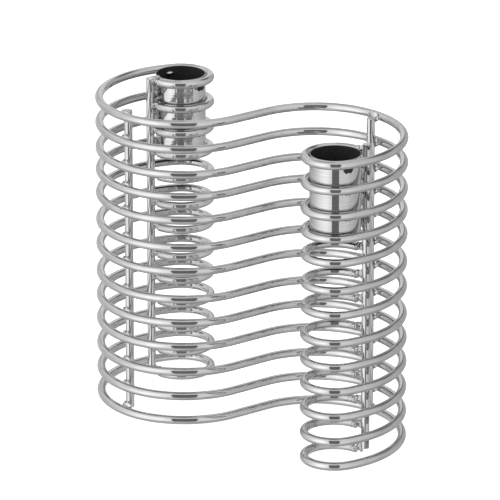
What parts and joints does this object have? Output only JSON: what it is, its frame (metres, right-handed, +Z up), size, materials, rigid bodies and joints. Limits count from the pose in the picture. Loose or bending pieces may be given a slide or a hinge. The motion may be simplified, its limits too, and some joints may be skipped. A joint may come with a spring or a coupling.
{
  "type": "candle holder",
  "caption": "Free-standing candle holder of stacked S-shaped chrome wires, whose ends curl into rings round tubular candle cups and are welded to upright posts.",
  "frame": {"origin": "on the table, in the middle of the stack's outline", "axes": "+Z up, +X from the left cup towards the right cup, +Y across"},
  "size_m": [0.176, 0.1092, 0.153],
  "materials": {
    "polished_wire": "polished chrome plate",
    "polished_post": "polished chrome plate",
    "polished_cup": "polished chrome plate outside, dark and unplated inside",
    "cup_floor": "dull, dark inside",
    "weld_metal": "plated over a rough, pitted bead"
  },
  "bodies": {
    "root": {"s_wire_01": "polished_wire", "s_wire_02": "polished_wire", "s_wire_03": "polished_wire", "s_wire_04": "polished_wire", "s_wire_05": "polished_wire", "s_wire_06": "polished_wire", "s_wire_07": "polished_wire", "s_wire_08": "polished_wire", "s_wire_09": "polished_wire", "s_wire_10": "polished_wire", "s_wire_11": "polished_wire", "s_wire_12": "polished_wire", "s_wire_13": "polished_wire", "inner_post_left": "polished_post", "inner_post_right": "polished_post", "outer_post_left": "polished_post", "outer_post_right": "polished_post", "candle_cup_left": "polished_cup", "candle_cup_right": "polished_cup", "cup_floor_left": "cup_floor", "cup_floor_right": "cup_floor", "ring_end_welds_left": "weld_metal", "ring_end_welds_right": "weld_metal", "crossing_welds_left": "weld_metal", "crossing_welds_right": "weld_metal", "cup_tacks_left": "weld_metal", "cup_tacks_right": "weld_metal"}
  },
  "joints": []
}
